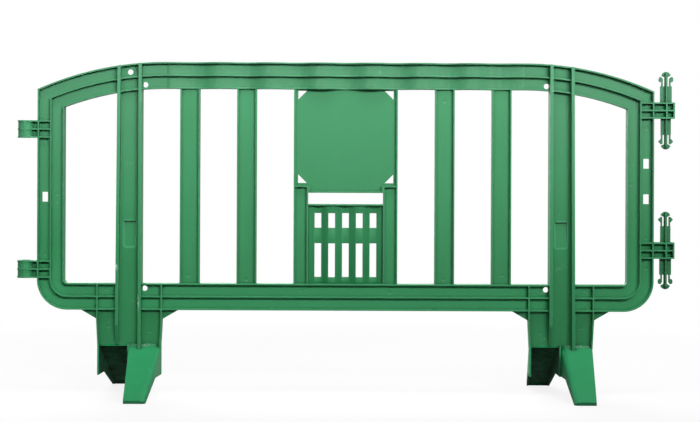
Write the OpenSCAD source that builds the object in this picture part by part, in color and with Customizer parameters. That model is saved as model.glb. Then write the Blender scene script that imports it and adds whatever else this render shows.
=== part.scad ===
// Interlocking plastic crowd-barrier panel on two splayed, hollow feet.
// X runs along the panel, Y through it (front is -Y), Z up. The origin is on the floor under its middle.

/* [Overall] */
// Length over the eyes and the pin brackets
overall_l = 2000; // [1900:1:2150]
// Height over the top rail
panel_h = 1010; // [980:1:1060]
// How far each foot reaches from the mid-plane
foot_reach = 240; // [200:1:280]

/* [Frame] */
// How far the eyes and the pin brackets stand out of the frame
coupling_out = 63; // [58:0.5:70]
// Width of the rails and stiles, seen from the front
rail_w = 81; // [76:0.5:86]
// Depth of the rails and stiles
rail_d = 40; // [34:0.5:46]
// Thickness of the rims and ribs
rim_t = 4.5; // [3.5:0.1:5.5]
// Thickness of the webs
web_t = 4; // [3:0.1:5]
// Height of the bottom rail above the floor
rail_z = 256; // [245:1:270]
// Outer radius of the lower corners
corner_r = 92; // [90:0.5:120]
// Radius of the arched shoulders, as a share of the length
arc_r_share = 0.48; // [0.46:0.005:0.55]
// Distance from the middle to where the arch begins, as a share of the length
arc_share = 0.2725; // [0.26:0.0005:0.28]
// Swing of the corrugated top rail to each side
wave_a = 10; // [6:0.5:14]
// Distance from crest to trough along the top rail
wave_l = 76.4; // [70:0.2:80]

/* [Posts and legs] */
// Distance from the middle to the inner face of each post, as a share of the length
post_share = 0.31; // [0.3:0.0005:0.32]
// Width of a post at the top
post_top_w = 73.5; // [68:0.5:80]
// Width of a post at its foot
post_foot_w = 78.5; // [74:0.5:86]
// Depth of a post
post_d = 60; // [50:0.5:70]
// Thickness of the post flanges
flange_t = 9.5; // [8:0.1:11]
// Half width of a leg under the bottom rail
leg_half = 100; // [94:0.5:108]
// Half width of a leg at its foot
foot_half = 96; // [90:0.5:100]
// Width of the gussets beside a leg
gusset_w = 50; // [40:0.5:60]
// Drop of the gussets below the bottom rail
gusset_h = 29; // [20:0.5:40]
// Width of the sloping pocket in a post
pocket_w = 36; // [30:0.5:44]
// Height of the sloping pocket in a post
pocket_h = 80; // [60:1:100]
// Depth of the sloping pocket at its top
pocket_d = 6; // [4:0.5:8]
// Height of the pocket's middle above the floor
pocket_z = 486; // [440:1:540]

/* [Feet] */
// Height of the top of a foot
foot_top = 151; // [140:0.5:160]
// Height of a foot's toe
toe_h = 10; // [8:0.5:14]
// Length of the toe that lies on the floor
toe_l = 12; // [8:0.5:16]
// Wall of a foot
foot_t = 5; // [4:0.1:6]
// Height of the heel's lower edge
heel_z = 58; // [50:0.5:66]
// Length of the level heel in front of the mid-plane
heel_l = 85; // [60:0.5:100]
// How far a foot narrows on the side next to the post axis
toe_in = 9; // [4:0.5:14]
// How far a foot narrows on the side at the edge of the leg
toe_out = 17; // [10:0.5:22]
// How much more a front foot narrows on its soft side
toe_soft = 6; // [3:0.5:8]
// Radius of the soft corner and edge of a front foot
toe_soft_r = 13; // [8:0.5:16]
// Height of the lip along the top of a foot
lip_h = 3.5; // [2:0.5:5]
// How far the lip stands out of the leg
lip_out = 4; // [2:0.5:6]
// Radius of the other corners of the toes
toe_r = 3; // [1:0.5:5]

/* [Infill] */
// Width of an upright bar
bar_w = 60; // [50:0.5:70]
// Depth of the bars, the sign panel rims and the grille
bar_d = 30; // [24:0.5:34]
// Distance from the middle to the axis of the inner bars, as a share of the length
inner_bar_share = 0.1505; // [0.1425:0.0005:0.1575]
// Distance from the middle to the axis of the outer bars, as a share of the length
outer_bar_share = 0.237; // [0.2275:0.0005:0.245]
// Half width of the sign panel, as a share of the length
sign_share = 0.079; // [0.075:0.0005:0.085]
// Height of the sign panel's lower edge
sign_z = 614; // [600:1:630]
// Drop of the sign panel between the grille stiles
sign_drop = 17; // [10:0.5:24]
// Leg of the triangular holes in the corners of the sign panel
corner_hole = 26; // [18:0.5:32]
// Distance of the triangular holes from the sign panel's side
corner_hole_in = 13; // [10:0.5:18]
// Width of the stiles beside the grille
grille_stile_w = 44; // [38:0.5:50]
// Height of the handhold between the sign panel and the grille
handhold_h = 34; // [30:0.5:45]
// Number of slots across the grille
slot_n = 5; // [3:2:5]
// Plain width of the grille beside its outer slots, both sides together
slot_margin = 18; // [10:0.5:24]
// Width of a grille bar between two slots
slot_bar_w = 22; // [16:0.5:24]
// Height of the upper slots
slot_top_h = 44.5; // [40:0.5:50]
// Height of the lower slots
slot_low_h = 102.5; // [90:0.5:108]
// Lower edge of the lower slots above the bottom rail
slot_low_up = 20.5; // [14:0.5:24]
// Upper edge of the upper slots below the top of the grille
slot_top_down = 28; // [24:0.5:34]
// Swing of the corrugated grille to each side
grille_wave_a = 6; // [3:0.5:8]

/* [Holes] */
// Diameter of the round tie holes
tie_d = 16.5; // [12:0.5:18]
// Height of the round hole in the left post below the top of the arch
post_hole_down = 24; // [20:0.5:28]
// Width of a strap slot in the stiles
strap_w = 17; // [12:0.5:22]
// Height of a strap slot in the stiles
strap_h = 29.5; // [24:0.5:40]
// Distance from one strap slot of the right stile to the other
strap_gap = 108; // [80:1:140]
// How far the middle of the strap slots lies below the middle between the couplings
strap_down = 3; // [0:0.5:10]

/* [Coupling] */
// Drop of the middle of the upper pin bracket below the top of the frame
upper_down = 141.5; // [138:0.5:160]
// Height of the middle of the lower pin bracket
lower_z = 442.5; // [430:0.5:460]
// Height of the pin brackets
bracket_h = 49.5; // [44:0.5:54]
// Height of the eyes
eye_h = 53.5; // [46:0.5:58]
// Gap between a bracket and the eye that hangs below it
coupling_gap = 12.5; // [8:0.5:15]
// Outer diameter of the eyes
eye_d = 50; // [48:0.5:56]
// Bore of the eyes
eye_bore = 39.5; // [38:0.5:40.5]
// Height of the ribs round the eyes
eye_rib = 1.5; // [1:0.5:2.5]
// Length of a pin above or below its bracket
pin_l = 93.5; // [86:0.5:100]
// Width of the stout pin ends
stout_w = 35.7; // [34:0.1:36]
// Width of the slim pin ends
slim_w = 31.2; // [30.6:0.1:33]
// Thickness of the pin blades and snap fingers
pin_t = 5; // [4:0.1:6]
// Depth of the cross blade of a pin
pin_cross_d = 26; // [20:0.5:30]
// Width of the stem between the snap fingers
stem_w = 10; // [8:0.5:11]
// Radius of the mushroom head
head_r = 15; // [14:0.5:16]
// Height of the mushroom head at its rim
head_rim_h = 11; // [9:0.5:13]
// Height of the neck under the head's rim
head_neck_h = 5.5; // [4:0.5:7]
// Height of the snap finger's root above the bracket
root_z = 49.5; // [44:0.5:54]
// Thickness of a snap finger
finger_t = 5; // [4.5:0.1:5.4]
// Gap between a snap finger and the stem
finger_gap = 4.6; // [4.4:0.1:5]
// Width over the tips of the snap fingers
catch_w = 44.4; // [42:0.1:46]
// Radius of a round finger tip
knob_r = 5.5; // [5:0.1:6]
// Distance from the finger's root to the end of its tip
finger_l = 28.5; // [26:0.5:29]
// Running clearance round a finger's root
root_clear = 0.1; // [0.06:0.01:0.1]

/* [Hidden] */
$fn = 128;

// How far every cut runs past the face it leaves through
overrun = 10;
half_w = overall_l / 2 - coupling_out;
arc_x = arc_share * overall_l;
arc_r = arc_r_share * overall_l;
post_in = post_share * overall_l;
inner_bar_x = inner_bar_share * overall_l;
outer_bar_x = outer_bar_share * overall_l;
sign_half = sign_share * overall_l;
upper_z = panel_h - upper_down;
// The mid rib runs along the middle of the rails and stiles
mid_at = rail_w / 2;
rail_top = rail_z + rail_w;
infill_top = panel_h - rail_w;
elbow_top = rail_z + corner_r;
hinge_x = overall_l / 2 - eye_d / 2;
arc_z = panel_h - arc_r;
post_x = post_in + post_top_w / 2;

// Height of the arch, moved in by an inset, at a distance from the middle
function arch_z(x, inset) = arc_z + sqrt(pow(arc_r - inset, 2) - pow(x - arc_x, 2));

// The shoulders meet the stiles in a mitre through the outer and inner corners of the frame
mitre_out_z = arch_z(half_w, 0);
mitre_in_z = arch_z(half_w - rail_w, rail_w);
mitre_rise = mitre_out_z - mitre_in_z;

// The outer face of a post leans out towards its foot
post_lean = (post_foot_w - post_top_w) / (panel_h - foot_top);
function post_out(z) = post_in + post_top_w + post_lean * (panel_h - z);

// The post flanges stand clear of a foot's opening by tapering away above it
taper_h = 60;
taper_toe = 8;
pocket_top = pocket_z + pocket_h / 2;
pocket_low = pocket_z - pocket_h / 2;

// A foot's ramp falls from the lip in front of the web to the top of the toe
ramp_u = web_t / 2 + lip_out;
ramp_run = foot_reach - ramp_u;
ramp_fall = (foot_top - toe_h) / ramp_run;
ramp_t = foot_t * sqrt(1 + ramp_fall * ramp_fall);
function ramp_z(u) = foot_top - ramp_fall * (u - ramp_u);

// Crests of the corrugated top rail, which is level up to where the arch begins
wave_n = floor((arc_x - wave_l / 2) / wave_l);
rail_wave = concat(
  [[-arc_x, 0]],
  [for (k = [-wave_n : wave_n]) [k * wave_l, wave_a * (k % 2 == 0 ? 1 : -1)]],
  [[arc_x, 0]]
);

// Crests of the corrugated grille, one for each slot
grille_half = sign_half - grille_stile_w;
grille_top = sign_z - handhold_h;
slot_half_n = (slot_n - 1) / 2;
slot_pitch = (2 * grille_half - slot_margin) / slot_n;
slot_w = slot_pitch - slot_bar_w;
grille_wave = concat(
  [[-grille_half, 0]],
  [for (k = [-slot_half_n : slot_half_n]) [k * slot_pitch, grille_wave_a * (k % 2 == 0 ? 1 : -1)]],
  [[grille_half, 0]]
);

// Round tie holes sit in the corners between the posts and the rails
tie_side_share = 0.55;
tie_top_share = 0.6;
tie_low_share = 0.7;
tie_x = post_in - tie_side_share * tie_d;
tie_top_z = arch_z(tie_x, rail_w) + rim_t + tie_top_share * tie_d;
tie_low_z = rail_top - rim_t - tie_low_share * tie_d;
strap_mid_z = (upper_z + lower_z) / 2 - strap_down;
strap_low_z = strap_mid_z - strap_gap / 2;
strap_high_z = strap_mid_z + strap_gap / 2;

// The ribs of an eye or bracket sit at its ends and middle
rib_shares = [-1, 0, 1];
bracket_step = (bracket_h - rim_t) / 2;
eye_step = (eye_h - rim_t) / 2;
eye_drop = (bracket_h + eye_h) / 2 + coupling_gap;
// The ends of the brackets line up with the far sides of the eyes
bracket_end = overall_l / 2;

// A snap finger turns about the middle of its round root
finger_x = stem_w / 2 + finger_gap + finger_t / 2;
knob_x = catch_w / 2 - knob_r;
knob_z = root_z + finger_l - knob_r;
knob_stretch = 5;
barb_rise_share = 0.36;
barb_tip_share = 0.65;
barb_nose_share = 0.74;
barb_cut = 2;
head_z = pin_l - head_r;
head_rim_z = pin_l - head_rim_h;
head_neck_z = head_rim_z - head_neck_h;

web_green = [0.29, 0.59, 0.41];
rib_green = [0.33, 0.63, 0.45];
foot_green = [0.15, 0.59, 0.35];

// Sheet of a given depth, lying in the panel's mid-plane
module slab(depth) {
  rotate([90, 0, 0]) linear_extrude(depth, center = true) children();
}

// Sheet from X = 0 to a width, drawn in distance in front of the mid-plane and height
module side_sheet(width) {
  translate([width, 0, 0]) rotate([90, 0, -90]) linear_extrude(width) children();
}

module left_hand() {
  mirror([1, 0, 0]) children();
}

// Arched outline of the frame, moved in by an inset
module frame_outline(inset) {
  intersection() {
    union() {
      translate([-arc_x, rail_z]) square([2 * arc_x, panel_h - inset - rail_z]);
      for (side = [-1, 1]) translate([side * arc_x, arc_z]) circle(arc_r - inset, $fn = 360);
    }
    union() {
      translate([inset - half_w, elbow_top]) square([2 * (half_w - inset), panel_h]);
      translate([corner_r - half_w, rail_z + inset]) square([2 * (half_w - corner_r), panel_h]);
      for (side = [-1, 1]) translate([side * (half_w - corner_r), elbow_top]) circle(corner_r - inset);
    }
  }
}

module frame_band(from, to) {
  difference() {
    frame_outline(from);
    frame_outline(to);
  }
}

// Outer rim, mid rib and inner rim of the frame
module frame_ribs() {
  frame_band(0, rim_t);
  frame_band(mid_at - rim_t / 2, mid_at + rim_t / 2);
  frame_band(rail_w - rim_t, rail_w);
}

// The part of the ribbed frame that lies inside a flat zone
module frame_member() {
  slab(web_t) intersection() {
    frame_band(0, rail_w);
    children();
  }
  slab(rail_d) intersection() {
    frame_ribs();
    children();
  }
}

// Front outline of the right post, moved in by an inset
module post_outline(inset) {
  low = foot_top - post_d;
  intersection() {
    polygon([
      [post_in + inset, low],
      [post_out(low) - inset, low],
      [post_out(panel_h) - inset, panel_h],
      [post_in + inset, panel_h]
    ]);
    union() {
      frame_outline(0);
      translate([post_in, low]) square([2 * leg_half, elbow_top - low]);
    }
  }
}

// Zones of the frame's right half, each bounded by the members beside it
module shoulder_zone() {
  low = mitre_in_z - mitre_rise;
  high = panel_h + overrun;
  polygon([
    [post_out(low), low],
    [post_out(high), high],
    [half_w + rail_w, high],
    [half_w + rail_w, mitre_out_z + mitre_rise],
    [half_w - 2 * rail_w, low]
  ]);
}

module stile_zone() {
  polygon([
    [half_w - 2 * rail_w, elbow_top],
    [half_w + rail_w, elbow_top],
    [half_w + rail_w, mitre_out_z + mitre_rise],
    [half_w - 2 * rail_w, mitre_in_z - mitre_rise]
  ]);
}

module elbow_zone() {
  low = rail_z - overrun;
  polygon([
    [post_out(low), low],
    [half_w + overrun, low],
    [half_w + overrun, elbow_top],
    [post_out(elbow_top), elbow_top]
  ]);
}

// Upright rib that carries the edge of a leg up through the bottom rail
module leg_rib(x) {
  slab(rail_d) translate([x - rim_t / 2, rail_z]) square([rim_t, rail_w]);
}

module shoulder() {
  color(web_green) frame_member() shoulder_zone();
}

// Stile with strap slots, and with ribs across its outer channel behind each coupling
module stile(strap_zs, coupling_zs, rib_step) {
  channel = mid_at - rim_t;
  color(web_green) difference() {
    union() {
      frame_member() stile_zone();
      for (z = coupling_zs, share = rib_shares) {
        slab(rail_d) translate([half_w - mid_at, z + share * rib_step - rim_t / 2]) square([channel, rim_t]);
      }
    }
    for (z = strap_zs) {
      slab(rail_d) translate([half_w - mid_at / 2 - rim_t / 4 - strap_w / 2, z - strap_h / 2])
        square([strap_w, strap_h]);
    }
  }
}

module elbow() {
  color(web_green) union() {
    frame_member() elbow_zone();
    leg_rib(post_x + leg_half - rim_t / 2);
  }
}

// Round hole through a web
module tie_hole(x, z) {
  translate([x, 0, z]) rotate([90, 0, 0]) cylinder(h = post_d + overrun, d = tie_d, center = true);
}

module bottom_rail() {
  color(web_green) difference() {
    union() {
      frame_member() translate([-post_in, rail_z - overrun]) square([2 * post_in, rail_w + 2 * overrun]);
      for (side = [-1, 1]) leg_rib(side * (post_x - leg_half + rim_t / 2));
    }
    for (side = [-1, 1]) tie_hole(side * tie_x, tie_low_z);
  }
}

// Quarter of a wave that leaves a crest level and runs along by dx and across by dy
module wave_quarter(crest, dx, dy, depth) {
  r = (dx * dx + dy * dy) / (2 * abs(dy));
  way = sign(dy);
  middle = crest[1] + way * r;
  intersection() {
    translate([min(crest[0], crest[0] + dx), -r]) square([abs(dx), 2 * r]);
    difference() {
      translate([crest[0], middle - way * depth / 2]) circle(r);
      translate([crest[0], middle + way * depth / 2]) circle(r);
    }
  }
}

// Wavy strip of a given depth through a row of crests
module wave_strip(crests, depth) {
  for (k = [0 : len(crests) - 2]) {
    half_step = (crests[k + 1] - crests[k]) / 2;
    wave_quarter(crests[k], half_step[0], half_step[1], depth);
    wave_quarter(crests[k + 1], -half_step[0], -half_step[1], depth);
  }
}

// Corrugated rail with a web and three level ribs
module top_rail() {
  color(rib_green) union() {
    translate([0, 0, infill_top]) linear_extrude(rail_w) wave_strip(rail_wave, web_t);
    for (down = [rim_t, mid_at + rim_t / 2, rail_w]) {
      translate([0, 0, panel_h - down]) linear_extrude(rim_t) wave_strip(rail_wave, rail_d);
    }
  }
}

// Straight end of the top rail between the right end of the corrugation and the post
module rail_end() {
  color(rib_green) difference() {
    frame_member() translate([arc_x, infill_top - rail_w]) square([post_in - arc_x, 2 * rail_w]);
    tie_hole(tie_x, tie_top_z);
  }
}

// Space of one foot and its ramp under the leg, on the +X side of the post axis
module foot_space() {
  far = post_d;
  side_sheet(2 * leg_half) polygon([
    [-far, foot_top],
    [web_t / 2, foot_top],
    [web_t / 2, foot_top + lip_h],
    [ramp_u, foot_top + lip_h],
    [ramp_u, foot_top],
    [far, ramp_z(far)],
    [far, foot_top - 2 * post_d],
    [-far, foot_top - 2 * post_d]
  ]);
}

// Space of both feet at a post axis: the rear foot is the front foot turned half round
module feet_space(x) {
  for (turn = [0, 180]) translate([x, 0, 0]) rotate([0, 0, turn]) foot_space();
}

// Wedge that tapers a post flange away above a foot's opening, on the -X side and at the front
module flange_taper() {
  edge = post_d / 2;
  translate([-post_foot_w, 0, 0]) side_sheet(post_foot_w - pocket_w / 2) polygon([
    [edge, foot_top + taper_h],
    [edge + overrun, foot_top + taper_h],
    [edge + overrun, foot_top - post_d],
    [taper_toe, foot_top - post_d],
    [taper_toe, foot_top]
  ]);
}

// Space of the sloping pocket in the front of a post, deepest at its top
module pocket_space(x) {
  front = web_t / 2;
  translate([x - pocket_w / 2, 0, 0]) side_sheet(pocket_w) polygon([
    [front + overrun, pocket_top],
    [front - pocket_d, pocket_top],
    [front, pocket_low],
    [front + overrun, pocket_low]
  ]);
}

// Wall behind the sloping pocket
module pocket_wall(x) {
  back = -web_t / 2;
  width = pocket_w + 2 * web_t;
  translate([x - width / 2, 0, 0]) side_sheet(width) polygon([
    [0, pocket_top + web_t],
    [back - pocket_d, pocket_top + web_t],
    [back - pocket_d, pocket_top],
    [back, pocket_low],
    [0, pocket_low]
  ]);
}

// Post of H section, closed at the top by the ribs of the rail that crosses it
module post(x) {
  color(web_green) difference() {
    union() {
      pocket_wall(x);
      slab(web_t) post_front(x, 0);
      slab(post_d) difference() {
        post_front(x, 0);
        post_front(x, flange_t);
      }
      slab(rail_d) intersection() {
        post_front(x, 0);
        frame_ribs();
        translate([-half_w, infill_top - rail_w]) square([2 * half_w, 2 * rail_w]);
      }
    }
    feet_space(x);
    for (turn = [0, 180]) translate([x, 0, 0]) rotate([0, 0, turn]) flange_taper();
    pocket_space(x);
  }
}

// Front outline of the post on the side that x lies on
module post_front(x, inset) {
  mirror([x < 0 ? 1 : 0, 0]) post_outline(inset);
}

module left_post() {
  difference() {
    post(-post_x);
    color(web_green) tie_hole(-post_x, arch_z(post_x, 0) - post_hole_down);
  }
}

module right_post() {
  post(post_x);
}

// Half of a leg beside its post, with an edge rib and a gusset under the rail; side is its way from the axis
module cheek(x, side) {
  low = foot_top - post_d;
  bend = rail_z - gusset_h;
  edge = [[foot_half, low], [foot_half, foot_top], [leg_half, bend], [leg_half, rail_z]];
  inner_edge = [for (k = [len(edge) - 1 : -1 : 0]) edge[k] - [rim_t, 0]];
  color(web_green) difference() {
    union() {
      slab(web_t) difference() {
        translate([x, 0]) scale([side, 1]) polygon([
          [0, low],
          edge[0],
          edge[1],
          edge[2],
          [leg_half + gusset_w, rail_z],
          [0, rail_z]
        ]);
        post_front(x, 0);
      }
      slab(rail_d) translate([x, 0]) scale([side, 1]) polygon(concat(edge, inner_edge));
    }
    feet_space(x);
  }
}

// Tapered plan of a foot, moved in by a wall, with how far its sides narrow and its toe corners' radii
module foot_plan(wall, in_n, out_n, in_r, out_r) {
  back = rail_d / 2 + (wall > 0 ? overrun : 0);
  in_x = in_n + wall;
  out_x = foot_half - out_n - wall;
  in_angle = atan(in_n / ramp_run);
  out_angle = atan(out_n / ramp_run);
  in_c = [in_x + in_r * (1 - sin(in_angle)) / cos(in_angle), in_r - foot_reach];
  out_c = [out_x - out_r * (1 - sin(out_angle)) / cos(out_angle), out_r - foot_reach];
  polygon([
    [wall, back],
    [wall, -ramp_u],
    in_c + in_r * [-cos(in_angle), -sin(in_angle)],
    [in_c[0], -foot_reach],
    [out_c[0], -foot_reach],
    out_c + out_r * [cos(out_angle), -sin(out_angle)],
    [foot_half - wall, -ramp_u],
    [foot_half - wall, back]
  ]);
  if (in_r > 0) translate(in_c) circle(in_r);
  if (out_r > 0) translate(out_c) circle(out_r);
}

// Cutter that rounds the edge between a ramp and a side wall that narrows towards the toe
module edge_round(narrowing) {
  angle = atan(narrowing / ramp_run);
  run = norm([narrowing, ramp_run]);
  fall = foot_top - toe_h;
  rotate([90 + atan(fall / run), 0, -angle]) translate([0, 0, -overrun])
    linear_extrude(norm([run, fall]) + 2 * overrun) difference() {
      translate([-toe_soft_r, -toe_soft_r]) square(toe_soft_r + overrun);
      translate([-toe_soft_r, -toe_soft_r]) circle(toe_soft_r);
    }
}

// Hollow foot on the +X side of the post axis, open behind and below; soft is the side that is rounded off
module foot(soft) {
  in_r = soft < 0 ? toe_soft_r : toe_r;
  out_r = soft > 0 ? toe_soft_r : toe_r;
  in_n = toe_in + (soft < 0 ? toe_soft : 0);
  out_n = toe_out + (soft > 0 ? toe_soft : 0);
  roof = foot_top - ramp_t;
  inner_end = foot_reach - foot_t;
  color(foot_green) difference() {
    intersection() {
      side_sheet(foot_half) polygon([
        [-rail_d / 2, foot_top],
        [web_t / 2, foot_top],
        [web_t / 2, foot_top + lip_h],
        [ramp_u, foot_top + lip_h],
        [ramp_u, foot_top],
        [foot_reach, toe_h],
        [foot_reach, 0],
        [foot_reach - toe_l, 0],
        [heel_l, heel_z],
        [-rail_d / 2, heel_z]
      ]);
      linear_extrude(foot_top + lip_h) foot_plan(0, in_n, out_n, in_r, out_r);
    }
    intersection() {
      side_sheet(foot_half) polygon([
        [-rail_d, foot_top + overrun],
        [-web_t / 2, foot_top + overrun],
        [-web_t / 2, roof],
        [ramp_u, roof],
        [inner_end, ramp_z(inner_end) - ramp_t],
        [inner_end, -overrun],
        [-rail_d, -overrun]
      ]);
      translate([0, 0, -overrun]) linear_extrude(foot_top + 2 * overrun) foot_plan(foot_t, in_n, out_n, 0, 0);
    }
    if (soft > 0) translate([foot_half, -ramp_u, foot_top]) edge_round(out_n);
    if (soft < 0) translate([0, -ramp_u, foot_top]) mirror([1, 0, 0]) edge_round(in_n);
  }
}

module front_foot(x, soft) {
  translate([x, 0, 0]) foot(soft);
}

module rear_foot(x) {
  translate([x, 0, 0]) rotate([0, 0, 180]) foot(0);
}

// Upright of H section between the bottom rail and a height
module upright(x, width, top) {
  edge = x - width / 2;
  color(web_green) union() {
    slab(web_t) translate([edge, rail_top]) square([width, top - rail_top]);
    slab(bar_d) for (side_x = [edge, edge + width - rim_t]) {
      translate([side_x, rail_top]) square([rim_t, top - rail_top]);
    }
  }
}

// Blank sign panel with rims, and with a tie hole in each corner
module sign_panel() {
  ledge_z = sign_z + sign_drop;
  hole_x = sign_half - corner_hole_in;
  hole_top = infill_top - rim_t;
  hole_low = ledge_z + corner_hole_in;
  color(web_green) difference() {
    union() {
      slab(web_t) union() {
        translate([-sign_half, ledge_z]) square([2 * sign_half, infill_top - ledge_z]);
        translate([-grille_half, sign_z]) square([2 * grille_half, sign_drop + rim_t]);
      }
      slab(bar_d) union() {
        translate([-grille_half, sign_z]) square([2 * grille_half, rim_t]);
        for (turned = [0, 1]) mirror([turned, 0]) {
          translate([sign_half - rim_t, ledge_z]) square([rim_t, infill_top - ledge_z]);
          translate([grille_half - rim_t, ledge_z]) square([grille_stile_w + rim_t, rim_t]);
          translate([grille_half - rim_t, sign_z]) square([rim_t, sign_drop + rim_t]);
        }
      }
    }
    for (turned = [0, 1]) mirror([turned, 0, 0]) slab(bar_d) {
      polygon([[hole_x, hole_top], [hole_x - corner_hole, hole_top], [hole_x, hole_top - corner_hole]]);
      polygon([[hole_x, hole_low], [hole_x - corner_hole, hole_low], [hole_x, hole_low + corner_hole]]);
    }
  }
}

// Corrugated grille with two rows of slots under a rim
module grille_panel() {
  color(web_green) difference() {
    union() {
      translate([0, 0, rail_top]) linear_extrude(grille_top - rail_top) wave_strip(grille_wave, web_t);
      slab(bar_d) translate([-grille_half, grille_top - rim_t]) square([2 * grille_half, rim_t]);
    }
    for (k = [-slot_half_n : slot_half_n]) slab(bar_d) translate([k * slot_pitch - slot_w / 2, 0]) {
      translate([0, rail_top + slot_low_up]) square([slot_w, slot_low_h]);
      translate([0, grille_top - slot_top_down - slot_top_h]) square([slot_w, slot_top_h]);
    }
  }
}

// Ribbed eye beside the frame at a height
module eye(z) {
  reach = hinge_x - half_w;
  color(rib_green) translate([hinge_x, 0, z]) difference() {
    union() {
      cylinder(h = eye_h, d = eye_d - 2 * eye_rib, center = true);
      translate([-reach / 2, 0, 0]) cube([reach, web_t, eye_h], center = true);
      cube([rim_t, eye_d, eye_h], center = true);
      for (share = rib_shares) translate([0, 0, share * eye_step]) {
        cylinder(h = rim_t, d = eye_d, center = true);
        translate([-reach / 2, 0, 0]) cube([reach, rail_d, rim_t], center = true);
      }
    }
    cylinder(h = eye_h + overrun, d = eye_bore, center = true);
  }
}

// Ribbed bracket that carries a pin above and below it, closed by an end plate
module pin_bracket(z) {
  reach = bracket_end - half_w;
  color(rib_green) translate([half_w, 0, z]) union() {
    translate([reach / 2, 0, 0]) cube([reach, web_t, bracket_h], center = true);
    for (at = [hinge_x - half_w, reach - rim_t / 2]) translate([at, 0, 0])
      cube([rim_t, rail_d, bracket_h], center = true);
    for (share = rib_shares) translate([reach / 2, 0, share * bracket_step])
      cube([reach, rail_d, rim_t], center = true);
  }
}

// Mushroom head of a pin, in outline
module pin_head() {
  intersection() {
    translate([0, head_z]) circle(head_r);
    polygon([
      [-head_r, head_rim_z],
      [-stem_w / 2, head_neck_z],
      [stem_w / 2, head_neck_z],
      [head_r, head_rim_z],
      [head_r, pin_l],
      [-head_r, pin_l]
    ]);
  }
}

// Cross-shaped pin that stands on a bracket, with a round seat for each snap finger
module pin(width) {
  color(rib_green) union() {
    slab(pin_t) difference() {
      union() {
        translate([-width / 2, 0]) square([width, root_z]);
        translate([-stem_w / 2, 0]) square([stem_w, head_rim_z]);
        pin_head();
      }
      for (side = [-1, 1]) translate([side * finger_x, root_z]) circle(finger_t / 2 + root_clear);
    }
    rotate([0, 0, 90]) slab(rim_t) union() {
      translate([-pin_cross_d / 2, 0]) square([pin_cross_d, head_rim_z]);
      pin_head();
    }
  }
}

// Snap finger on the +X side of a pin; a round one ends in a knob and a sharp one in a barb
module finger(is_round) {
  inner = finger_x - finger_t / 2;
  outer = finger_x + finger_t / 2;
  end_z = root_z + finger_l;
  color(rib_green) slab(pin_t) union() {
    translate([finger_x, root_z]) circle(finger_t / 2);
    if (is_round) {
      translate([inner, root_z]) square([finger_t, knob_z - root_z]);
      translate([knob_x, knob_z]) circle(knob_r);
      translate([knob_x, knob_z - knob_stretch]) circle(knob_r);
      translate([knob_x - knob_r, knob_z - knob_stretch]) square([2 * knob_r, knob_stretch]);
    } else {
      polygon([
        [inner, root_z],
        [outer, root_z],
        [outer, root_z + barb_rise_share * finger_l],
        [catch_w / 2, root_z + barb_tip_share * finger_l],
        [catch_w / 2, root_z + barb_nose_share * finger_l],
        [outer, end_z],
        [inner + barb_cut, end_z],
        [inner, end_z - barb_cut]
      ]);
    }
  }
}

// Place of a pin: way is 1 above its bracket and -1 below it
module at_pin(z, way) {
  translate([hinge_x, 0, z + way * bracket_h / 2]) mirror([0, 0, way < 0 ? 1 : 0]) children();
}

module finger_at(z, way, side, is_round) {
  at_pin(z, way) mirror([side < 0 ? 1 : 0, 0, 0]) finger(is_round);
}

top_rail();
left_hand() rail_end();  // left_rail_end
rail_end();  // right_rail_end
left_hand() shoulder();  // left_shoulder
shoulder();  // right_shoulder
left_hand() stile([strap_low_z], [upper_z - eye_drop, lower_z - eye_drop], eye_step);  // left_stile
stile([strap_low_z, strap_high_z], [upper_z, lower_z], bracket_step);  // right_stile
left_hand() elbow();  // left_lower_elbow
elbow();  // right_lower_elbow
bottom_rail();
left_post();
right_post();
cheek(-post_x, -1);  // left_leg_outer_cheek
cheek(-post_x, 1);  // left_leg_inner_cheek
cheek(post_x, -1);  // right_leg_inner_cheek
cheek(post_x, 1);  // right_leg_outer_cheek
front_foot(-post_x, 1);  // left_front_foot
rear_foot(-post_x);  // left_rear_foot
front_foot(post_x, -1);  // right_front_foot
rear_foot(post_x);  // right_rear_foot
upright(-outer_bar_x, bar_w, infill_top);  // outer_left_bar
upright(-inner_bar_x, bar_w, infill_top);  // inner_left_bar
upright(inner_bar_x, bar_w, infill_top);  // inner_right_bar
upright(outer_bar_x, bar_w, infill_top);  // outer_right_bar
sign_panel();
upright(-sign_half + grille_stile_w / 2, grille_stile_w, sign_z + sign_drop);  // grille_left_stile
upright(sign_half - grille_stile_w / 2, grille_stile_w, sign_z + sign_drop);  // grille_right_stile
grille_panel();
left_hand() eye(upper_z - eye_drop);  // upper_eye
left_hand() eye(lower_z - eye_drop);  // lower_eye
pin_bracket(upper_z);  // upper_pin_bracket
pin_bracket(lower_z);  // lower_pin_bracket
at_pin(upper_z, 1) pin(stout_w);  // upper_pin_top
at_pin(upper_z, -1) pin(slim_w);  // upper_pin_bottom
at_pin(lower_z, 1) pin(slim_w);  // lower_pin_top
at_pin(lower_z, -1) pin(stout_w);  // lower_pin_bottom
finger_at(upper_z, 1, -1, true);  // upper_pin_top_left_finger
finger_at(upper_z, 1, 1, true);  // upper_pin_top_right_finger
finger_at(upper_z, -1, -1, false);  // upper_pin_bottom_left_finger
finger_at(upper_z, -1, 1, false);  // upper_pin_bottom_right_finger
finger_at(lower_z, 1, -1, false);  // lower_pin_top_left_finger
finger_at(lower_z, 1, 1, false);  // lower_pin_top_right_finger
finger_at(lower_z, -1, -1, true);  // lower_pin_bottom_left_finger
finger_at(lower_z, -1, 1, true);  // lower_pin_bottom_right_finger
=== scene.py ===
import math

import bpy
from mathutils import Matrix, Vector

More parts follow.
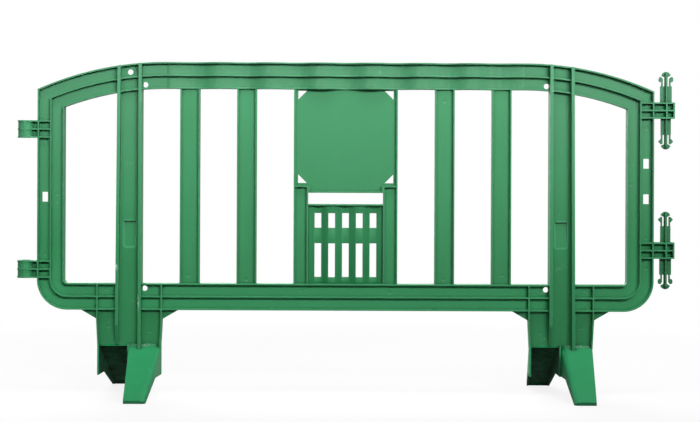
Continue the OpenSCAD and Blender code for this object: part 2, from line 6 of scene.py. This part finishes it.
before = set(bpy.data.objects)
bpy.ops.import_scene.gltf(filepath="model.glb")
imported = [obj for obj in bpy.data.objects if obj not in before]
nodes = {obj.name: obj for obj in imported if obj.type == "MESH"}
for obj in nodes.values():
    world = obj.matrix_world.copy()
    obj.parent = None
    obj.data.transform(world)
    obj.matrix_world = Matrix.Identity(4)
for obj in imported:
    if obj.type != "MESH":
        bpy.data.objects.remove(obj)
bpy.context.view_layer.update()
scene = bpy.context.scene
print("frame loaded:", len(nodes), "nodes")

# camera: level, square to the panel, with the horizon above the picture's middle
cameraView = {
    "pictureWidth": 700,      # pixels of the photograph's frame
    "pictureHeight": 422,
    "panelMiddle": 345.75,    # column of the panel's middle
    "horizon": 156.45,        # row of the horizon
    "pixelsPerMetre": 328.0,  # in the panel's own plane
    "distance": 5.6,          # metres from the panel
    "height": 0.725,
    "roll": 0.24,             # degrees, the picture leans to the right
    "sensor": 36.0,
    "farthest": 100.0,
}


def makeCamera(look):
    data = bpy.data.cameras.new("pictureCamera")
    camera = bpy.data.objects.new("pictureCamera", data)
    scene.collection.objects.link(camera)
    width = look["pictureWidth"]
    data.sensor_width = look["sensor"]
    data.lens = look["pixelsPerMetre"] * look["distance"] * look["sensor"] / width
    data.shift_x = (width / 2 - look["panelMiddle"]) / width
    data.shift_y = (look["horizon"] - look["pictureHeight"] / 2) / width
    data.clip_end = look["farthest"]
    upright = Matrix.Rotation(math.radians(90), 4, "X")
    lean = Matrix.Rotation(math.radians(look["roll"]), 4, "Z")
    camera.matrix_world = Matrix.Translation((0, -look["distance"], look["height"])) @ upright @ lean
    scene.camera = camera


makeCamera(cameraView)
print("camera set")


# node group helpers
def startGroup(name, inputs, outputs):
    tree = bpy.data.node_groups.new(name, "ShaderNodeTree")
    for label, kind, value in inputs:
        socket = tree.interface.new_socket(label, in_out="INPUT", socket_type=kind)
        socket.default_value = value
    for label, kind in outputs:
        tree.interface.new_socket(label, in_out="OUTPUT", socket_type=kind)
    entry = tree.nodes.new("NodeGroupInput")
    leave = tree.nodes.new("NodeGroupOutput")
    return tree, entry, leave


def addNode(tree, kind, **settings):
    node = tree.nodes.new(kind)
    for label, value in settings.items():
        setattr(node, label, value)
    return node


def join(tree, source, target):
    tree.links.new(source, target)


# a link where the value is a socket, and a typed value where it is not
def feed(tree, value, target):
    if isinstance(value, bpy.types.NodeSocket):
        join(tree, value, target)
    else:
        target.default_value = value


def maths(tree, operation, *values):
    node = addNode(tree, "ShaderNodeMath", operation=operation)
    for place, value in enumerate(values):
        feed(tree, value, node.inputs[place])
    return node.outputs["Value"]


def vectorMaths(tree, operation, *values):
    node = addNode(tree, "ShaderNodeVectorMath", operation=operation)
    for place, value in enumerate(values):
        feed(tree, value, node.inputs[place])
    return node.outputs["Value" if operation in ("DOT_PRODUCT", "LENGTH") else "Vector"]


# the surface's own place in metres, stretched along each axis where asked
def placed(tree, stretch=(1, 1, 1)):
    coords = addNode(tree, "ShaderNodeTexCoord")
    mapping = addNode(tree, "ShaderNodeMapping")
    mapping.inputs["Scale"].default_value = stretch
    join(tree, coords.outputs["Object"], mapping.inputs["Vector"])
    return mapping.outputs["Vector"]


def axes(tree, vector):
    parts = addNode(tree, "ShaderNodeSeparateXYZ")
    join(tree, vector, parts.inputs[0])
    return parts.outputs["X"], parts.outputs["Y"], parts.outputs["Z"]


def noise(tree, vector, scale, detail=3.0, rough=0.55):
    node = addNode(tree, "ShaderNodeTexNoise")
    node.inputs["Detail"].default_value = detail
    node.inputs["Roughness"].default_value = rough
    join(tree, vector, node.inputs["Vector"])
    feed(tree, scale, node.inputs["Scale"])
    return node.outputs["Fac"]


def ranged(tree, value, low, high, toLow=0.0, toHigh=1.0):
    node = addNode(tree, "ShaderNodeMapRange", clamp=True)
    join(tree, value, node.inputs["Value"])
    for label, number in (("From Min", low), ("From Max", high), ("To Min", toLow), ("To Max", toHigh)):
        node.inputs[label].default_value = number
    return node.outputs["Result"]


# how far a value has come from one socket's value to another's, from 0 to 1
def between(tree, value, start, end):
    span = maths(tree, "SUBTRACT", end, start)
    return ranged(tree, maths(tree, "DIVIDE", maths(tree, "SUBTRACT", value, start), span), 0, 1)


# a mask that never quite lets go, so that an effect drifts instead of being even
def patchy(tree, vector, scale, look):
    return ranged(tree, noise(tree, vector, scale), *look["spread"], look["least"], 1.0)


def blendColours(tree, factor, first, second):
    node = addNode(tree, "ShaderNodeMix", data_type="RGBA")
    for place, value in ((0, factor), (6, first), (7, second)):  # the colour mix's own sockets
        feed(tree, value, node.inputs[place])
    return node.outputs[2]


# cloudy pigment with faint flow streaks, as in a big moulding
pigmentMix = {"cloud": 0.5, "streak": 0.38, "speck": 0.12, "speckScale": 220.0, "streakStretch": (3, 3, 0.35),
              "spread": (0.34, 0.66)}


def makePigment(look):
    tree, entry, leave = startGroup(
        "pigmentDrift",
        [("Deep", "NodeSocketColor", (0, 0.2, 0.1, 1)), ("Pale", "NodeSocketColor", (0, 0.3, 0.1, 1)),
         ("Cloud Scale", "NodeSocketFloat", 5.0), ("Streak Scale", "NodeSocketFloat", 9.0)],
        [("Color", "NodeSocketColor"), ("Drift", "NodeSocketFloat")],
    )
    cloud = noise(tree, placed(tree), entry.outputs["Cloud Scale"], detail=4)
    streak = noise(tree, placed(tree, look["streakStretch"]), entry.outputs["Streak Scale"])
    speck = noise(tree, placed(tree), look["speckScale"], detail=2)
    drift = maths(tree, "ADD", maths(tree, "MULTIPLY", cloud, look["cloud"]),
                  maths(tree, "MULTIPLY", streak, look["streak"]))
    drift = maths(tree, "ADD", drift, maths(tree, "MULTIPLY", speck, look["speck"]))
    drift = ranged(tree, drift, *look["spread"])
    join(tree, blendColours(tree, drift, entry.outputs["Deep"], entry.outputs["Pale"]), leave.inputs["Color"])
    join(tree, drift, leave.inputs["Drift"])
    return tree


# fine spark-eroded grain over slow sink marks
def makeGrain():
    tree, entry, leave = startGroup(
        "mouldGrain",
        [("Grain Scale", "NodeSocketFloat", 900.0), ("Sink Scale", "NodeSocketFloat", 16.0),
         ("Sink Share", "NodeSocketFloat", 0.5)],
        [("Height", "NodeSocketFloat")],
    )
    fine = noise(tree, placed(tree), entry.outputs["Grain Scale"], detail=2)
    sink = noise(tree, placed(tree), entry.outputs["Sink Scale"], detail=2)
    height = maths(tree, "ADD", fine, maths(tree, "MULTIPLY", sink, entry.outputs["Sink Share"]))
    join(tree, height, leave.inputs["Height"])
    return tree


# a painted highlight along edges, and pale edge wear where noise breaks it up, both read from how far a rounded normal
# leaves the flat one
edgeBend = {"bend": (0.01, 0.22), "broken": (0.42, 0.62)}


def makeEdgeHighlightRub(look):
    tree, entry, leave = startGroup(
        "edgeRub",
        [("Radius", "NodeSocketFloat", 0.002), ("Break Scale", "NodeSocketFloat", 60.0)],
        [("Edge", "NodeSocketFloat"), ("Rub", "NodeSocketFloat")],
    )
    rounded = addNode(tree, "ShaderNodeBevel", samples=4)
    join(tree, entry.outputs["Radius"], rounded.inputs["Radius"])
    flat = addNode(tree, "ShaderNodeNewGeometry")
    dot = vectorMaths(tree, "DOT_PRODUCT", rounded.outputs["Normal"], flat.outputs["Normal"])
    edge = ranged(tree, maths(tree, "SUBTRACT", 1.0, dot), *look["bend"])
    grit = noise(tree, placed(tree), entry.outputs["Break Scale"], detail=5, rough=0.7)
    join(tree, edge, leave.inputs["Edge"])
    join(tree, maths(tree, "MULTIPLY", edge, ranged(tree, grit, *look["broken"])), leave.inputs["Rub"])
    return tree


# painted shade that darkens corners and hollows, from an occlusion mask broken into patches
cornerShadePatch = {"spread": (0.3, 0.7), "least": 0.7}


def makePaintedCornerShade(look):
    tree, entry, leave = startGroup(
        "cornerDust",
        [("Reach", "NodeSocketFloat", 0.02), ("Patch Scale", "NodeSocketFloat", 30.0),
         ("Least", "NodeSocketFloat", 0.1), ("Most", "NodeSocketFloat", 0.5)],
        [("Dust", "NodeSocketFloat")],
    )
    openness = addNode(tree, "ShaderNodeAmbientOcclusion", samples=6)
    join(tree, entry.outputs["Reach"], openness.inputs["Distance"])
    dark = maths(tree, "SUBTRACT", 1.0, openness.outputs["AO"])
    dark = between(tree, dark, entry.outputs["Least"], entry.outputs["Most"])
    patch = patchy(tree, placed(tree), entry.outputs["Patch Scale"], look)
    join(tree, maths(tree, "MULTIPLY", dark, patch), leave.inputs["Dust"])
    return tree


# whitish handling scuffs, short and mostly upright
scuffLine = {"stretch": (9, 9, 1.2), "scale": 46.0, "spread": (0.55, 0.66)}


def makeScuffs(look):
    tree, entry, leave = startGroup(
        "handlingScuffs",
        [("Scuff Scale", "NodeSocketFloat", 22.0), ("Threshold", "NodeSocketFloat", 0.66)],
        [("Scuff", "NodeSocketFloat")],
    )
    patch = noise(tree, placed(tree), entry.outputs["Scuff Scale"], detail=2)
    line = noise(tree, placed(tree, look["stretch"]), look["scale"], detail=4, rough=0.7)
    where = maths(tree, "GREATER_THAN", patch, entry.outputs["Threshold"])
    join(tree, maths(tree, "MULTIPLY", where, ranged(tree, line, *look["spread"])), leave.inputs["Scuff"])
    return tree


# where the moulding is divided into members, the painted edge highlight and the edge wear stop short of those lines
seamLines = {
    "railEnd": 0.545, "railFrom": 0.85,                          # upright cuts across the top rail, above this height
    "mitreX": 0.937, "mitreZ": 0.92632, "mitreSlope": 0.66884,  # slanting cuts between stile and shoulder
    "elbowZ": 0.348, "stileFrom": 0.85,                          # level cuts under the stiles, outside this reach
}


def makeSeamHush(lines):
    tree, entry, leave = startGroup("seamHush", [("Width", "NodeSocketFloat", 0.003)], [("Keep", "NodeSocketFloat")])
    across, depth, up = axes(tree, placed(tree))
    out = maths(tree, "ABSOLUTE", across)
    inside = maths(tree, "MAXIMUM", maths(tree, "SUBTRACT", lines["stileFrom"], out), 0.0)
    below = maths(tree, "MAXIMUM", maths(tree, "SUBTRACT", lines["railFrom"], up), 0.0)
    rail = maths(tree, "ABSOLUTE", maths(tree, "SUBTRACT", out, lines["railEnd"]))
    rise = maths(tree, "MULTIPLY", maths(tree, "SUBTRACT", out, lines["mitreX"]), lines["mitreSlope"])
    mitre = maths(tree, "SUBTRACT", maths(tree, "SUBTRACT", up, lines["mitreZ"]), rise)
    mitre = maths(tree, "ABSOLUTE", mitre)
    elbow = maths(tree, "ABSOLUTE", maths(tree, "SUBTRACT", up, lines["elbowZ"]))
    nearest = maths(tree, "MINIMUM", maths(tree, "ADD", mitre, inside), maths(tree, "ADD", elbow, inside))
    nearest = maths(tree, "MINIMUM", maths(tree, "ADD", rail, below), nearest)
    join(tree, maths(tree, "GREATER_THAN", nearest, entry.outputs["Width"]), leave.inputs["Keep"])
    return tree


# one mark on the front: a soft patch broken up by noise, and a thin ring whose lower side catches light
markShape = {"patch": (1.0, 0.55), "patchGrain": (0.46, 0.58), "ringAt": 0.8, "ringFade": (0.2, 0.05),
             "ringGrain": (0.36, 0.52), "lowerSide": (-0.15, -0.6)}


def makeMark(look):
    tree, entry, leave = startGroup(
        "frontMark",
        [("Place", "NodeSocketVector", (0, 0, 0)), ("Size", "NodeSocketVector", (0.01, 1, 0.01)),
         ("Break Scale", "NodeSocketFloat", 300.0)],
        [("Patch", "NodeSocketFloat"), ("Ring", "NodeSocketFloat"), ("Crescent", "NodeSocketFloat")],
    )
    spot = placed(tree)
    away = vectorMaths(tree, "SUBTRACT", spot, entry.outputs["Place"])
    share = vectorMaths(tree, "DIVIDE", away, entry.outputs["Size"])
    reach = vectorMaths(tree, "LENGTH", share)
    grain = noise(tree, spot, entry.outputs["Break Scale"], rough=0.65)
    patch = maths(tree, "MULTIPLY", ranged(tree, reach, *look["patch"]), ranged(tree, grain, *look["patchGrain"]))
    line = maths(tree, "ABSOLUTE", maths(tree, "SUBTRACT", reach, look["ringAt"]))
    ring = maths(tree, "MULTIPLY", ranged(tree, line, *look["ringFade"]), ranged(tree, grain, *look["ringGrain"]))
    across, depth, up = axes(tree, share)
    join(tree, patch, leave.inputs["Patch"])
    join(tree, ring, leave.inputs["Ring"])
    join(tree, maths(tree, "MULTIPLY", ring, ranged(tree, up, *look["lowerSide"])), leave.inputs["Crescent"])
    return tree


# ribs and flanges that stand proud take painted light and shade on their front faces: darker than the webs on the
# frame, bars and sign, lighter on posts and feet
proudPatch = {"stretch": (1, 1, 0.4), "spread": (0.3, 0.7), "least": 0.75}


def makeProudLighting(look):
    tree, entry, leave = startGroup(
        "proudFade",
        [("From", "NodeSocketFloat", 0.017), ("To", "NodeSocketFloat", 0.0195),
         ("Patch Scale", "NodeSocketFloat", 18.0)],
        [("Fade", "NodeSocketFloat")],
    )
    across, depth, up = axes(tree, placed(tree))
    share = between(tree, maths(tree, "ABSOLUTE", depth), entry.outputs["From"], entry.outputs["To"])
    patch = patchy(tree, placed(tree, look["stretch"]), entry.outputs["Patch Scale"], look)
    join(tree, maths(tree, "MULTIPLY", share, patch), leave.inputs["Fade"])
    return tree


# painted light that grows from one height to another: a pale painted sheen towards the top, and the low frame painted a
# brighter green towards the bottom
heightPatch = {"spread": (0.3, 0.7), "least": 0.8}


def makeHeightLighting(look):
    tree, entry, leave = startGroup(
        "heightFade",
        [("From", "NodeSocketFloat", 0.45), ("To", "NodeSocketFloat", 1.0), ("Patch Scale", "NodeSocketFloat", 6.0)],
        [("Fade", "NodeSocketFloat")],
    )
    across, depth, up = axes(tree, placed(tree))
    share = between(tree, up, entry.outputs["From"], entry.outputs["To"])
    patch = patchy(tree, placed(tree), entry.outputs["Patch Scale"], look)
    join(tree, maths(tree, "MULTIPLY", share, patch), leave.inputs["Fade"])
    return tree


# shallow pocket in each post: a painted shadow under its top and a painted highlight round its rim
pocketShape = {"x": 0.657, "z": 0.487, "halfWidth": 0.0185, "halfHeight": 0.0405, "corner": 0.008,
               "rimFade": (1.0, 0.3), "lip": 0.003, "lipFade": (0.0036, 0.0018)}


def makePocketRim(shape):
    tree, entry, leave = startGroup(
        "pocketRim",
        [("Line Width", "NodeSocketFloat", 0.005)],
        [("Rim", "NodeSocketFloat"), ("Lip", "NodeSocketFloat")],
    )
    across, depth, up = axes(tree, placed(tree))
    side = maths(tree, "ABSOLUTE", maths(tree, "SUBTRACT", maths(tree, "ABSOLUTE", across), shape["x"]))
    rise = maths(tree, "SUBTRACT", up, shape["z"])
    outX = maths(tree, "SUBTRACT", side, shape["halfWidth"] - shape["corner"])
    outZ = maths(tree, "SUBTRACT", maths(tree, "ABSOLUTE", rise), shape["halfHeight"] - shape["corner"])
    squares = [maths(tree, "POWER", maths(tree, "MAXIMUM", out, 0.0), 2.0) for out in (outX, outZ)]
    corner = maths(tree, "SQRT", maths(tree, "ADD", *squares))
    inner = maths(tree, "MINIMUM", maths(tree, "MAXIMUM", outX, outZ), 0.0)
    away = maths(tree, "SUBTRACT", maths(tree, "ADD", corner, inner), shape["corner"])
    line = maths(tree, "DIVIDE", maths(tree, "ABSOLUTE", away), entry.outputs["Line Width"])
    join(tree, ranged(tree, line, *shape["rimFade"]), leave.inputs["Rim"])
    lip = maths(tree, "ABSOLUTE", maths(tree, "SUBTRACT", rise, shape["halfHeight"] - shape["lip"]))
    within = maths(tree, "LESS_THAN", side, shape["halfWidth"])
    join(tree, maths(tree, "MULTIPLY", ranged(tree, lip, *shape["lipFade"]), within), leave.inputs["Lip"])
    return tree


shared = {
    "pigment": makePigment(pigmentMix),
    "grain": makeGrain(),
    "edge": makeEdgeHighlightRub(edgeBend),
    "cornerShade": makePaintedCornerShade(cornerShadePatch),
    "scuff": makeScuffs(scuffLine),
    "seam": makeSeamHush(seamLines),
    "mark": makeMark(markShape),
    "proud": makeProudLighting(proudPatch),
    "height": makeHeightLighting(heightPatch),
    "pocket": makePocketRim(pocketShape),
}
print("shared effects built:", len(shared))


def placeGroup(tree, name, values=None):
    node = addNode(tree, "ShaderNodeGroup", node_tree=shared[name])
    for label, value in (values or {}).items():
        node.inputs[label].default_value = value
    return node


def strongest(tree, masks):
    mask = masks[0]
    for other in masks[1:]:
        mask = maths(tree, "MAXIMUM", mask, other)
    return mask


# a share of a mask, laid over a colour
def tint(tree, colour, mask, share, target):
    return blendColours(tree, maths(tree, "MULTIPLY", mask, share), colour, target)


# painted light by height: a pale painted sheen at the top, and a brighter green painted low on the frame
def paintHeightLighting(tree, look, colour):
    for label in ("sun", "low"):
        start, end = look[label + "Heights"]
        paintedLight = placeGroup(tree, "height", {"From": start, "To": end})
        colour = tint(tree, colour, paintedLight.outputs["Fade"], look[label + "Share"], look[label + "Colour"])
    return colour


# painted highlight on edges, then painted light and shade on the proud ribs, then the pocket's painted rim highlight
# and painted shadow where the piece has one
def shadeForms(tree, look, colour, edge):
    colour = tint(tree, colour, edge, look["edgeLift"], look["edgeColour"])
    start, end = look["proudDepth"]
    proud = placeGroup(tree, "proud", {"From": start, "To": end})
    colour = tint(tree, colour, proud.outputs["Fade"], look["proudShare"], look["proudColour"])
    if look["pocketShares"]:
        rimShare, lipShare = look["pocketShares"]
        pocket = placeGroup(tree, "pocket")
        colour = tint(tree, colour, pocket.outputs["Rim"], rimShare, look["edgeColour"])
        colour = tint(tree, colour, pocket.outputs["Lip"], lipShare, look["paintedShadeColour"])
    return colour


# painted shade in corners, then a near-black painted shade inside deep hollows
def shadeCorners(tree, look, colour):
    cornerShade = placeGroup(tree, "cornerShade", {"Reach": look["cornerShadeReach"]})
    colour = tint(tree, colour, cornerShade.outputs["Dust"], look["cornerShadeShare"], look["paintedShadeColour"])
    least, most = look["hollowRange"]
    hollowShade = placeGroup(tree, "cornerShade", {"Reach": look["hollowReach"], "Least": least, "Most": most}).outputs["Dust"]
    return tint(tree, colour, hollowShade, look["hollowShadeShare"], look["hollowShadeColour"]), hollowShade


# rubbed edges, scuffs and white marks that the piece carries, and painted highlight strips such as those on the feet's
# top ledges
def paleMarks(tree, look, rub):
    scuff = placeGroup(tree, "scuff", {"Threshold": look["scuffThreshold"]})
    masks = [maths(tree, "MULTIPLY", rub, look["rubShare"]),
             maths(tree, "MULTIPLY", scuff.outputs["Scuff"], look["scuffShare"])]
    for place, size in look["scuffAndHighlightMarks"]:
        mark = placeGroup(tree, "mark", {"Place": place, "Size": size})
        masks.append(maths(tree, "MULTIPLY", mark.outputs["Patch"], look["markShare"]))
    return strongest(tree, masks)


# ejector pin rings, darker, with a painted highlight on each ring's lower side
def pinRings(tree, look, colour, height):
    pins = [placeGroup(tree, "mark", {"Place": place, "Size": look["pinSize"], "Break Scale": look["pinBreak"]})
            for place in look["pinMarks"]]
    ring = strongest(tree, [pin.outputs["Ring"] for pin in pins])
    crescent = strongest(tree, [pin.outputs["Crescent"] for pin in pins])
    colour = tint(tree, colour, ring, look["pinShare"], look["pinColour"])
    colour = tint(tree, colour, crescent, look["crescentShare"], look["scuffAndHighlightColour"])
    return colour, maths(tree, "SUBTRACT", height, ring)


def plastic(name, look):
    material = bpy.data.materials.new(name)
    material.use_nodes = True
    tree = material.node_tree
    shader = tree.nodes["Principled BSDF"]
    pigment = placeGroup(tree, "pigment", {"Deep": look["deep"], "Pale": look["pale"],
                                           "Cloud Scale": look["cloudScale"], "Streak Scale": look["streakScale"]})
    grain = placeGroup(tree, "grain", {"Grain Scale": look["grainScale"], "Sink Scale": look["sinkScale"],
                                       "Sink Share": look["sinkShare"]})
    edgeHighlightAndWear = placeGroup(tree, "edge", {"Radius": look["edgeRadius"]})
    keep = placeGroup(tree, "seam").outputs["Keep"]
    edge, rub = [maths(tree, "MULTIPLY", edgeHighlightAndWear.outputs[label], keep) for label in ("Edge", "Rub")]
    colour = paintHeightLighting(tree, look, pigment.outputs["Color"])
    colour = shadeForms(tree, look, colour, edge)
    colour, hollowShade = shadeCorners(tree, look, colour)
    marks = paleMarks(tree, look, rub)
    colour = blendColours(tree, marks, colour, look["scuffAndHighlightColour"])
    height = grain.outputs["Height"]
    if look["pinMarks"]:
        colour, height = pinRings(tree, look, colour, height)
    join(tree, colour, shader.inputs["Base Color"])
    drift = maths(tree, "MULTIPLY", pigment.outputs["Drift"], look["roughnessDrift"])
    dulled = maths(tree, "MULTIPLY", strongest(tree, [marks, hollowShade]), look["roughnessWorn"])
    rough = maths(tree, "ADD", maths(tree, "ADD", look["roughness"], drift), dulled)
    join(tree, rough, shader.inputs["Roughness"])
    bump = addNode(tree, "ShaderNodeBump")
    bump.inputs["Strength"].default_value = look["bumpStrength"]
    bump.inputs["Distance"].default_value = look["bumpDistance"]
    join(tree, height, bump.inputs["Height"])
    join(tree, bump.outputs["Normal"], shader.inputs["Normal"])
    shader.inputs["Specular IOR Level"].default_value = look["specular"]
    return material


webFront = -0.002  # metres, the webs' front face
# paler green for the painted highlights on edges, proud flanges and the pocket rim
highlightGreen = (0.060, 0.36, 0.17, 1)


# ejector pin marks on the front of the webs, in metres across and up
def pinPlaces(*spots):
    return [(x, webFront, z) for x, z in spots]


frameLook = {
    "deep": (0.014, 0.182, 0.058, 1), "pale": (0.026, 0.234, 0.086, 1), "cloudScale": 4.0, "streakScale": 7.0,
    # painted light: a pale sheen towards the top, and a brighter green low on the frame
    "sunColour": (0.14, 0.26, 0.20, 1), "sunShare": 0.30, "sunHeights": (0.45, 1.0),
    "lowColour": (0.042, 0.335, 0.131, 1), "lowShare": 0.85, "lowHeights": (0.46, 0.25),
    "edgeColour": highlightGreen, "edgeLift": 0.5, "edgeRadius": 0.0018,
    "proudColour": (0.008, 0.120, 0.042, 1), "proudShare": 0.25, "proudDepth": (0.0165, 0.0192),
    "pocketShares": None,
    # painted shade in corners and hollows
    "paintedShadeColour": (0.006, 0.050, 0.020, 1), "cornerShadeShare": 0.42, "cornerShadeReach": 0.010,
    "hollowShadeColour": (0.003, 0.014, 0.006, 1), "hollowShadeShare": 0.0, "hollowReach": 0.1, "hollowRange": (0.5, 0.8),
    "scuffAndHighlightColour": (0.46, 0.66, 0.53, 1), "scuffShare": 0.35, "scuffThreshold": 0.72, "rubShare": 0.2,
    "scuffAndHighlightMarks": [], "markShare": 1.0,
    "grainScale": 800.0, "sinkScale": 14.0, "sinkShare": 1.2, "bumpStrength": 0.10, "bumpDistance": 0.001,
    "roughness": 0.56, "roughnessDrift": 0.10, "roughnessWorn": 0.4, "specular": 0.3,
    "pinColour": (0.008, 0.105, 0.036, 1), "pinShare": 0.75, "crescentShare": 0.3,
    "pinSize": (0.007, 0.02, 0.007), "pinBreak": 120.0,
    "pinMarks": pinPlaces((-0.136, 0.318), (0.135, 0.311), (-0.727, 0.318), (-0.601, 0.322), (0.60, 0.316),
                          (0.73, 0.318), (-0.878, 0.608), (-0.917, 0.425), (0.915, 0.815), (0.918, 0.480),
                          (0.916, 0.388), (0.870, 0.643)),
}
barLook = dict(
    frameLook, deep=(0.016, 0.184, 0.060, 1), pale=(0.030, 0.232, 0.089, 1), streakScale=11.0,
    sunShare=0.1, lowShare=0.0, cornerShadeShare=0.5,
    pinMarks=pinPlaces((-0.479, 0.361), (0.478, 0.365), (-0.302, 0.350), (0.30, 0.352), (0.300, 0.895)),
)
postLook = dict(
    frameLook, deep=(0.012, 0.178, 0.056, 1), pale=(0.024, 0.235, 0.084, 1), lowShare=0.0,
    proudColour=highlightGreen, proudShare=0.1, proudDepth=(0.026, 0.0288), pocketShares=(0.5, 0.85),
    cornerShadeShare=0.36, cornerShadeReach=0.018, scuffThreshold=0.66, rubShare=0.4,
    scuffAndHighlightMarks=[((-0.630, -0.03, 0.276), (0.006, 0.02, 0.030)), ((-0.694, -0.03, 0.386), (0.005, 0.02, 0.012)),
                ((-0.613, -0.03, 0.968), (0.006, 0.03, 0.006))],
    pinMarks=pinPlaces((-0.594, 0.190), (-0.722, 0.205), (0.720, 0.205), (0.592, 0.190)),
)
signLook = dict(
    frameLook, deep=(0.021, 0.194, 0.070, 1), pale=(0.029, 0.216, 0.083, 1), cloudScale=2.5,
    sunShare=0.06, sinkShare=1.8, pinMarks=[],
)
footLook = dict(
    frameLook, deep=(0.005, 0.235, 0.070, 1), pale=(0.009, 0.290, 0.094, 1), lowShare=0.0,
    edgeLift=0.6, proudColour=highlightGreen, proudShare=0.4,
    # near-black painted shade inside the hollows of the feet
    hollowShadeShare=0.99, hollowReach=0.22, hollowRange=(0.4, 0.66), scuffThreshold=0.66, markShare=0.7,
    # pale painted highlight strips along the top ledges of the front feet
    scuffAndHighlightMarks=[((-0.614, -0.035, 0.150), (0.070, 0.04, 0.007)), ((0.705, -0.035, 0.150), (0.070, 0.04, 0.007))],
    roughness=0.5, specular=0.2, pinMarks=[],
)
couplingLook = dict(
    frameLook, deep=(0.017, 0.196, 0.068, 1), pale=(0.030, 0.245, 0.096, 1), cloudScale=9.0,
    sunShare=0.2, lowShare=0.0, edgeLift=0.6, proudShare=0.0, cornerShadeShare=0.5, cornerShadeReach=0.012, pinMarks=[],
)
pinLook = dict(
    couplingLook, deep=(0.010, 0.132, 0.043, 1), pale=(0.019, 0.172, 0.062, 1), edgeLift=0.35, cornerShadeShare=0.7,
)

materials = {
    "frame": plastic("framePlastic", frameLook),
    "bar": plastic("barPlastic", barLook),
    "post": plastic("postPlastic", postLook),
    "sign": plastic("signPlastic", signLook),
    "foot": plastic("footPlastic", footLook),
    "coupling": plastic("couplingPlastic", couplingLook),
    "pin": plastic("pinPlastic", pinLook),
}
print("materials built:", len(materials))

# which finish each family of nodes takes, by the first of these words in its name
finishByWord = [
    ("foot", "foot"), ("bracket", "coupling"), ("eye", "coupling"), ("pin", "pin"), ("bar", "bar"),
    ("grille", "bar"), ("sign", "sign"), ("post", "post"), ("cheek", "post"),
]


def finishFor(name):
    for word, finish in finishByWord:
        if word in name:
            return materials[finish]
    return materials["frame"]


softEdge = {"width": 0.0004, "segments": 2, "angle": 32.0, "weld": 0.00001}


def dressNode(node, look):
    for slot in node.material_slots:
        slot.material = finishFor(node.name)
    weld = node.modifiers.new("joinSeams", "WELD")
    weld.merge_threshold = look["weld"]
    bevel = node.modifiers.new("softEdges", "BEVEL")
    bevel.width = look["width"]
    bevel.segments = look["segments"]
    bevel.limit_method = "ANGLE"
    bevel.angle_limit = math.radians(look["angle"])
    bevel.harden_normals = True


for node in nodes.values():
    dressNode(node, softEdge)
print("nodes dressed")

# floor and studio light
studio = {
    "floorSize": 60.0,
    "floorLit": (0.9, 0.9, 0.9, 1),     # what the camera sees of the lit floor
    "floorDim": (0.08, 0.08, 0.08, 1),  # what the floor throws back at the panel
    "floorRoughness": 0.9,
    "whiteShare": (0.85, 1.0),          # plain white over the lit floor, near and far
    "whiteReach": (0.9, 2.6),           # metres from the panel's middle
    "white": (1, 1, 1, 1),
    "ambient": 0.07,
}
lamps = [
    {"name": "mainBank", "place": (1.3, -4.2, 2.3), "aim": (0, 0, 1.55), "size": (4.4, 0.9), "watts": 51, "spread": 50},
    {"name": "topBank", "place": (0.4, -1.0, 3.2), "aim": (0, 0, 0.3), "size": (4.2, 0.8), "watts": 46, "spread": 150},
    {"name": "backBank", "place": (-1.3, 4.2, 2.3), "aim": (0, 0, 1.1), "size": (4.4, 1.2), "watts": 48, "spread": 60},
]


# camera, glossy and transmission rays see the white, the rest see the dim room
def seenDirectly(tree):
    path = addNode(tree, "ShaderNodeLightPath")
    mirrored = maths(tree, "MAXIMUM", path.outputs["Is Glossy Ray"], path.outputs["Is Transmission Ray"])
    return maths(tree, "MAXIMUM", path.outputs["Is Camera Ray"], mirrored)


def makeFloor(look):
    half = look["floorSize"] / 2
    mesh = bpy.data.meshes.new("studioFloor")
    mesh.from_pydata([(-half, -half, 0), (half, -half, 0), (half, half, 0), (-half, half, 0)], [], [(0, 1, 2, 3)])
    floor = bpy.data.objects.new("studioFloor", mesh)
    scene.collection.objects.link(floor)
    material = bpy.data.materials.new("paleFloor")
    material.use_nodes = True
    tree = material.node_tree
    shader = tree.nodes["Principled BSDF"]
    shader.inputs["Roughness"].default_value = look["floorRoughness"]
    white = addNode(tree, "ShaderNodeEmission")
    white.inputs["Strength"].default_value = 1.0
    seen = seenDirectly(tree)
    join(tree, blendColours(tree, seen, look["floorDim"], look["floorLit"]), shader.inputs["Base Color"])
    away = vectorMaths(tree, "LENGTH", placed(tree))
    share = ranged(tree, away, *look["whiteReach"], *look["whiteShare"])
    mix = addNode(tree, "ShaderNodeMixShader")
    join(tree, maths(tree, "MULTIPLY", seen, share), mix.inputs[0])
    join(tree, shader.outputs["BSDF"], mix.inputs[1])
    join(tree, white.outputs["Emission"], mix.inputs[2])
    join(tree, mix.outputs["Shader"], tree.nodes["Material Output"].inputs["Surface"])
    mesh.materials.append(material)


def makeWorld(look):
    world = bpy.data.worlds.new("paleRoom")
    scene.world = world
    world.use_nodes = True
    tree = world.node_tree
    back = tree.nodes["Background"]
    back.inputs["Color"].default_value = look["white"]
    join(tree, ranged(tree, seenDirectly(tree), 0, 1, look["ambient"], 1.0), back.inputs["Strength"])


def makeLamp(lamp):
    data = bpy.data.lights.new(lamp["name"], "AREA")
    data.shape = "RECTANGLE"
    data.size, data.size_y = lamp["size"]
    data.energy = lamp["watts"]
    data.spread = math.radians(lamp["spread"])
    light = bpy.data.objects.new(lamp["name"], data)
    scene.collection.objects.link(light)
    place = Vector(lamp["place"])
    light.location = place
    light.rotation_euler = (Vector(lamp["aim"]) - place).to_track_quat("-Z", "Y").to_euler()


makeFloor(studio)
makeWorld(studio)
for lamp in lamps:
    makeLamp(lamp)
scene.view_settings.view_transform = "Standard"
print("studio set")

print("finishing")
